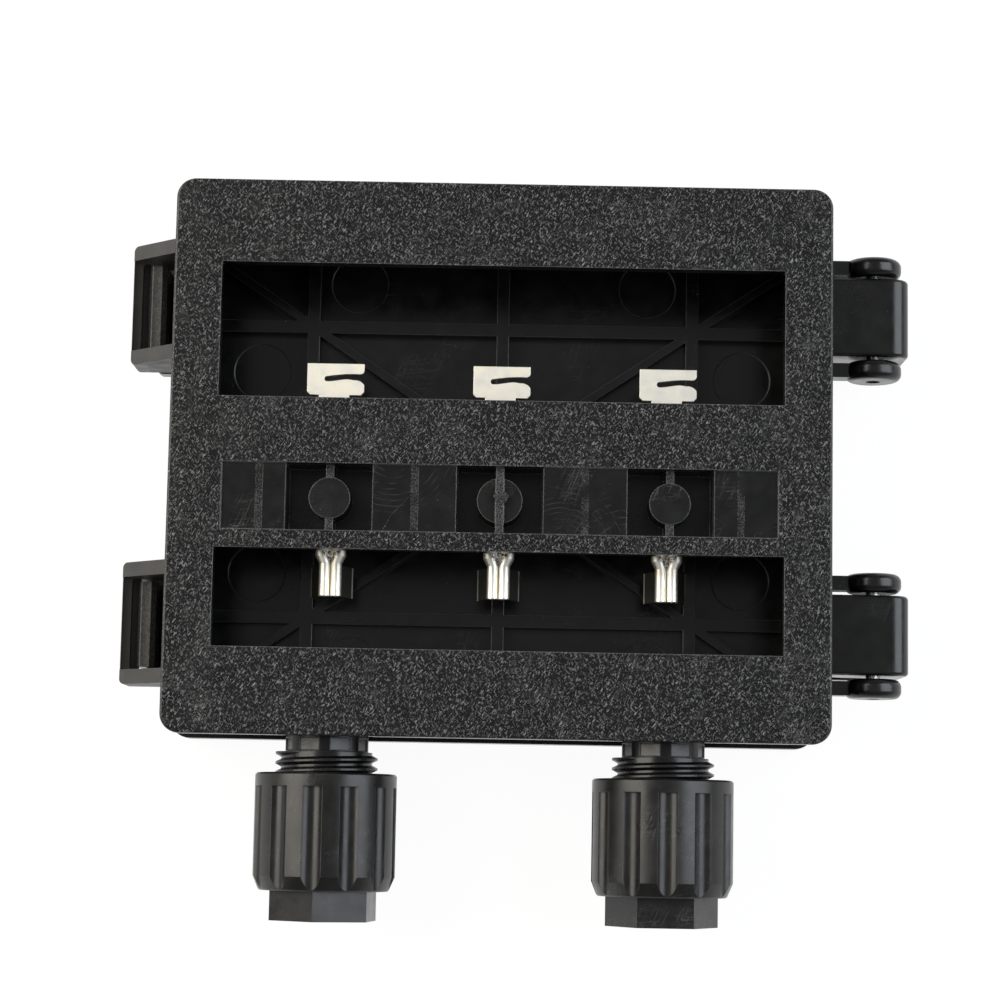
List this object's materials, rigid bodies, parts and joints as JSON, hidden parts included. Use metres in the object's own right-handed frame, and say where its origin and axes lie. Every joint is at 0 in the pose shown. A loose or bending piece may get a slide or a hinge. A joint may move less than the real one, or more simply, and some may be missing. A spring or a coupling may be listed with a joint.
{
  "type": "pv junction box",
  "caption": "Flat rectangular junction box with a windowed bonding flange, slotted ribbon terminals, hinged snap lid and side-by-side threaded cable glands.",
  "frame": {"origin": "centre of the flange's bonding face", "axes": "+Z out of the bonding face towards the panel, -Y the way the cables leave, +X from the latches to the hinges"},
  "size_m": [0.1227, 0.1142, 0.025],
  "materials": {
    "housing_plastic": "grained black moulded plastic",
    "lid_plastic": "satin black moulded plastic",
    "gasket_rubber": "soft silicone cord",
    "pin_steel": "drawn steel wire",
    "tinned_brass": "hot tinned, slightly matt",
    "screw_steel": "zinc plated",
    "diode_epoxy": "moulded epoxy",
    "lead_wire": "tinned copper wire",
    "clip_steel": "spring steel, plated",
    "nut_plastic": "satin black moulded plastic",
    "claw_plastic": "moulded plastic",
    "seal_rubber": "soft rubber"
  },
  "bodies": {
    "base": {"flange": "housing_plastic", "side_walls": "housing_plastic", "bridge": "housing_plastic", "pocket_left": "housing_plastic", "pocket_middle": "housing_plastic", "pocket_right": "housing_plastic", "latch_loop_upper": "housing_plastic", "latch_loop_lower": "housing_plastic", "hinge_ears_upper": "housing_plastic", "hinge_ears_lower": "housing_plastic", "gland_spigot_left": "housing_plastic", "gland_spigot_right": "housing_plastic", "hinge_pin_upper": "pin_steel", "hinge_pin_lower": "pin_steel", "terminal_left": "tinned_brass", "terminal_middle": "tinned_brass", "terminal_right": "tinned_brass", "terminal_screws": "screw_steel", "diode_left": "diode_epoxy", "diode_right": "diode_epoxy", "diode_leads_left": "lead_wire", "diode_leads_right": "lead_wire", "lead_clips_left": "clip_steel", "lead_clips_right": "clip_steel"},
    "lid": {"lid": "lid_plastic", "lid_ribs": "lid_plastic", "lid_gasket": "gasket_rubber"},
    "clamp_left": {"gland_claws_left": "claw_plastic", "gland_seal_left": "seal_rubber"},
    "nut_left": {"gland_nut_left": "nut_plastic"},
    "clamp_right": {"gland_claws_right": "claw_plastic", "gland_seal_right": "seal_rubber"},
    "nut_right": {"gland_nut_right": "nut_plastic"}
  },
  "joints": [
    {"name": "lid_hinge", "type": "hinge", "parent": "base", "child": "lid", "pos_m": [0.0588, 0, -0.012], "axis": [0, -1, 0], "range_deg": [0, 150]},
    {"name": "left_clamp_slide", "type": "slide", "parent": "base", "child": "clamp_left", "axis": [0, -1, 0], "range_m": [-0.00301, 0.00451]},
    {"name": "left_nut_turn", "type": "hinge", "parent": "clamp_left", "child": "nut_left", "pos_m": [-0.0262, -0.0598, -0.0123], "axis": [0, -1, 0], "range_deg": [-720, 1080]},
    {"name": "right_clamp_slide", "type": "slide", "parent": "base", "child": "clamp_right", "axis": [0, -1, 0], "range_m": [-0.00301, 0.00451]},
    {"name": "right_nut_turn", "type": "hinge", "parent": "clamp_right", "child": "nut_right", "pos_m": [0.0262, -0.0598, -0.0123], "axis": [0, -1, 0], "range_deg": [-720, 1080]}
  ],
  "couplings": [
    {"joint": "left_clamp_slide", "follows": "left_nut_turn", "m_per_rad": 0.00023873},
    {"joint": "right_clamp_slide", "follows": "right_nut_turn", "m_per_rad": 0.00023873}
  ]
}
